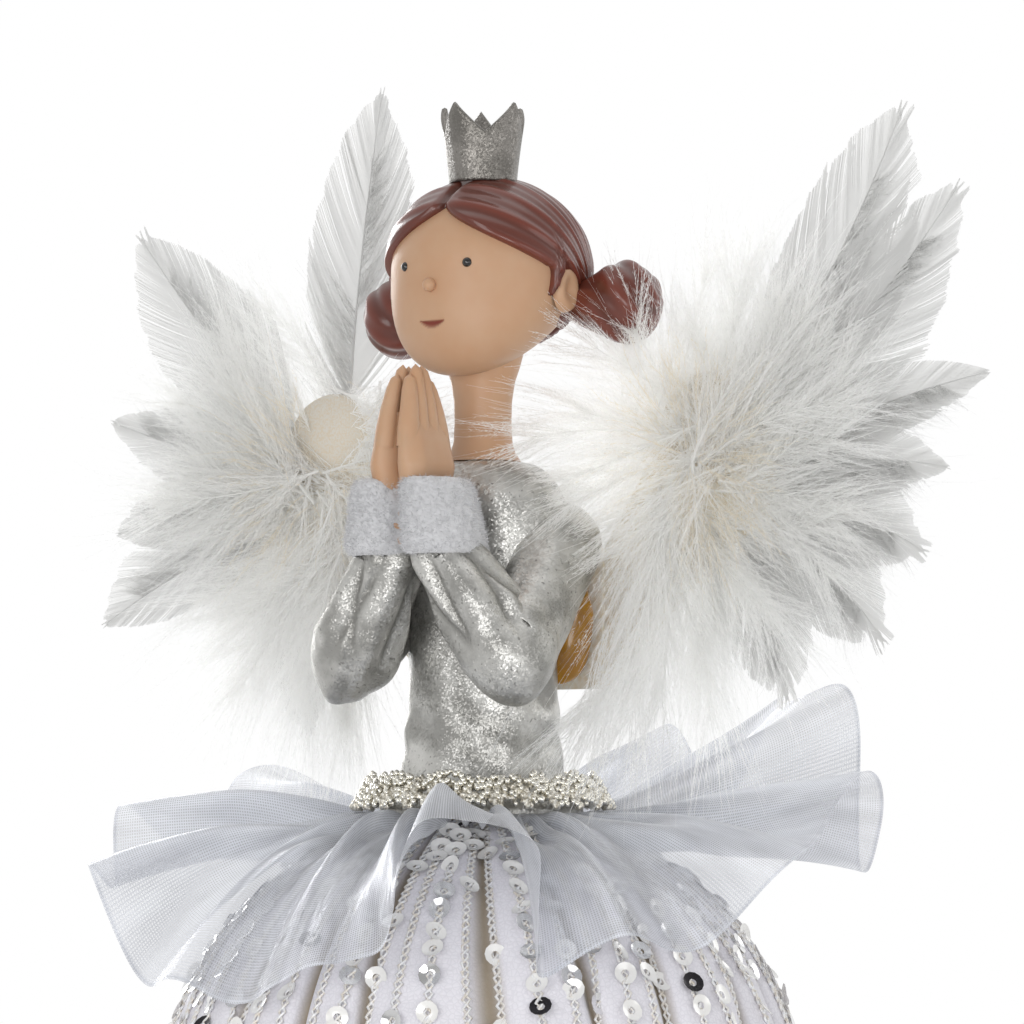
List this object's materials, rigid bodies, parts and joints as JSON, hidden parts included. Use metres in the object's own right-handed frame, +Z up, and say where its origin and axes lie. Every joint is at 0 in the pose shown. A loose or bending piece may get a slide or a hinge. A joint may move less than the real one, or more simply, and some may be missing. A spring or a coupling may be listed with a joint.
{
  "type": "angel tree topper",
  "caption": "Praying angel tree topper: painted resin half-figure on a hollow card cone, with pleated sequin skirt, organza ruffle, looped braid and bendable feather wings.",
  "frame": {"origin": "centre of the cone's mouth, on the surface that the topper stands on", "axes": "+Z up through the crown; the figure faces -Y; its left hand is at +X"},
  "size_m": [0.2165, 0.1624, 0.2999],
  "materials": {
    "cone_card": "plain grey-brown board",
    "white_card": "white board",
    "lining_cloth": "stiffened plain weave",
    "sequin_cloth": "pale lavender-grey cloth with rows of cream thread and sequins",
    "organza": "sheer blue-grey metallic organza",
    "braid_thread": "silver metallic thread braid",
    "silver_paint": "cast resin under silver glitter paint",
    "skin_paint": "cast resin under satin skin paint",
    "hair_paint": "cast resin under brown satin paint",
    "eye_paint": "glossy black bead",
    "plush": "white short pile",
    "felt": "ivory felt",
    "hot_melt_glue": "amber hot-melt glue",
    "quill_feather": "white goose feather",
    "marabou": "white marabou down"
  },
  "bodies": {
    "figure": {"tree_cone": "cone_card", "skirt_lining": "lining_cloth", "skirt": "sequin_cloth", "ruffle": "organza", "waist_braid": "braid_thread", "torso": "silver_paint", "head": "skin_paint", "hair": "hair_paint", "crown": "silver_paint", "sleeve_left": "silver_paint", "cuff_left": "plush", "hand_left": "skin_paint", "eye_left": "eye_paint", "bun_left": "hair_paint", "wing_tab_left": "white_card", "glue_left": "hot_melt_glue", "sleeve_right": "silver_paint", "cuff_right": "plush", "hand_right": "skin_paint", "eye_right": "eye_paint", "bun_right": "hair_paint", "wing_tab_right": "white_card", "glue_right": "hot_melt_glue"},
    "wing_left": {"wing_card_left": "white_card", "felt_disc_left": "felt", "quill_left_1": "quill_feather", "quill_left_2": "quill_feather", "quill_left_3": "quill_feather", "quill_left_4": "quill_feather", "quill_left_5": "quill_feather", "quill_left_6": "quill_feather", "quill_left_7": "quill_feather", "plume_left_upper": "marabou", "plume_left_inner": "marabou", "plume_left_shoulder": "marabou", "plume_left_outer": "marabou", "plume_left_low_outer": "marabou", "plume_left_low_inner": "marabou", "plume_left_sleeve": "marabou", "plume_left_back": "marabou"},
    "wing_right": {"wing_card_right": "white_card", "felt_disc_right": "felt", "quill_right_1": "quill_feather", "quill_right_2": "quill_feather", "quill_right_3": "quill_feather", "quill_right_4": "quill_feather", "quill_right_5": "quill_feather", "quill_right_6": "quill_feather", "plume_right_upper": "marabou", "plume_right_inner": "marabou", "plume_right_shoulder": "marabou", "plume_right_outer": "marabou", "plume_right_low_outer": "marabou", "plume_right_low_inner": "marabou", "plume_right_sleeve": "marabou", "plume_right_back": "marabou"}
  },
  "joints": [
    {"name": "wing_left_bend", "type": "hinge", "parent": "figure", "child": "wing_left", "pos_m": [0.02, 0.0139, 0.1935], "axis": [0, 0, 1], "range_deg": [0, 20], "stiffness_Nm_per_rad": 0.02},
    {"name": "wing_right_bend", "type": "hinge", "parent": "figure", "child": "wing_right", "pos_m": [-0.02, 0.0139, 0.1935], "axis": [0, 0, -1], "range_deg": [0, 20], "stiffness_Nm_per_rad": 0.02}
  ]
}
